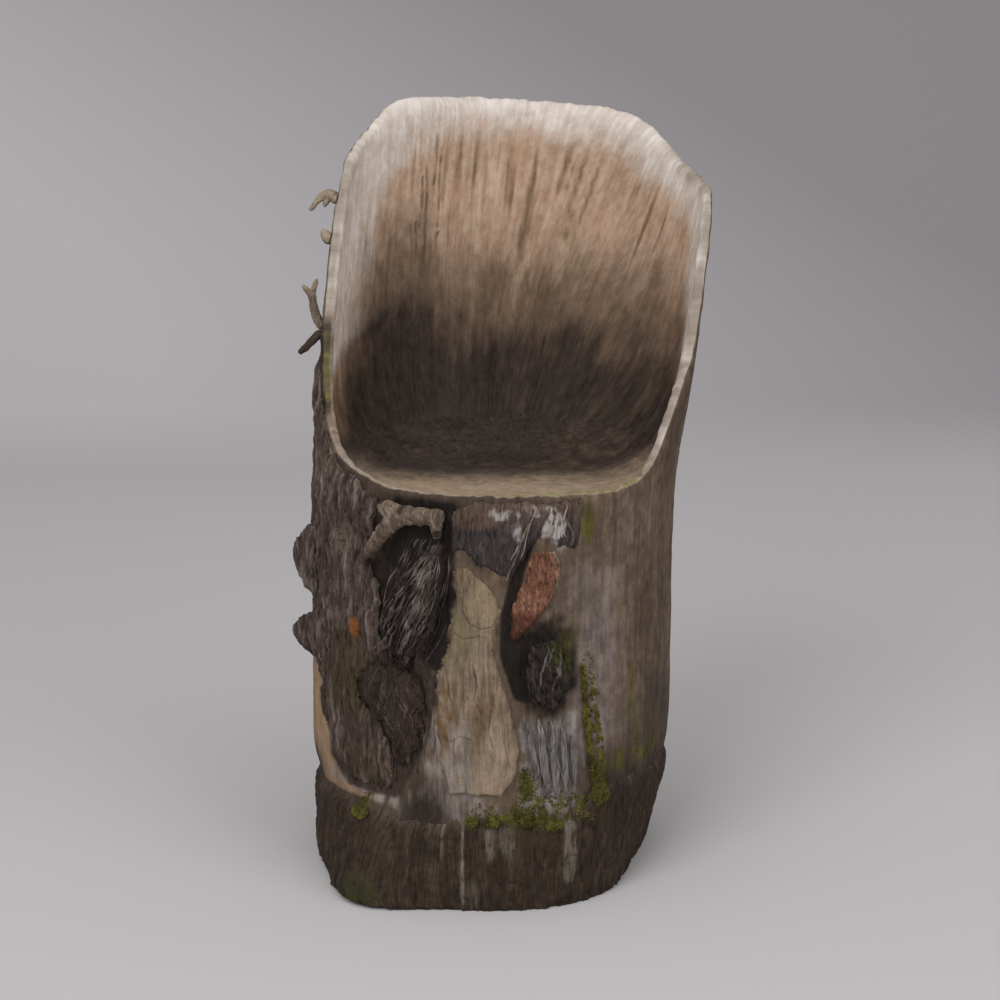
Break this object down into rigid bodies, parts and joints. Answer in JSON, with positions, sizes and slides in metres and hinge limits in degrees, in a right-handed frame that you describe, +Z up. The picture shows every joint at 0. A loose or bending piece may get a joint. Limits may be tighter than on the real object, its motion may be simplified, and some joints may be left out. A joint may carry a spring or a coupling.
{
  "type": "tree stump chair",
  "caption": "Rustic chair hollowed from one upright log, with a worn scooped seat, a tall curved back, remains of bark, dead ivy and moss.",
  "frame": {"origin": "on the floor, under the axis of the log at its foot, level with the chair's front-to-back middle", "axes": "+Z up along the log, -Y towards the front of the chair, +X towards the right as seen from the front"},
  "size_m": [0.497, 0.4181, 0.9],
  "materials": {
    "bare_wood": "weathered, unvarnished heartwood, worn smooth in the hollow",
    "dark_bark": "rough, very dark brown bark with upright grain",
    "grey_bark": "rough, furrowed grey-brown bark",
    "fibrous_bark": "dark fibrous inner bark with light grey strands",
    "lip_bark": "dark grey bark, worn thin",
    "tan_inner_bark": "dry, cracked tan inner bark",
    "red_inner_bark": "dry, flaky red-brown inner bark",
    "weathered_wood": "grey, fibrous weathered wood",
    "burl_wood": "dark, knobbly, partly mossy",
    "dead_ivy": "dry, light grey-brown ivy wood",
    "moss": "soft yellow-green moss"
  },
  "bodies": {
    "root": {"log": "bare_wood", "foot_bark": "dark_bark", "flank_bark": "grey_bark", "arm_bark": "grey_bark", "back_bark_low": "grey_bark", "back_bark_high": "grey_bark", "bark_slab": "fibrous_bark", "bark_tongue": "fibrous_bark", "flake_upper": "grey_bark", "flake_lower": "grey_bark", "lip_bark": "lip_bark", "inner_bark_tan": "tan_inner_bark", "inner_bark_red": "red_inner_bark", "splinters": "weathered_wood", "burl": "burl_wood", "ivy_stem": "dead_ivy", "rootlets": "dead_ivy", "shoot_top": "dead_ivy", "shoot_stub": "dead_ivy", "shoot_fork": "dead_ivy", "shoot_peg": "dead_ivy", "moss_foot": "moss", "moss_streak": "moss"}
  },
  "joints": []
}
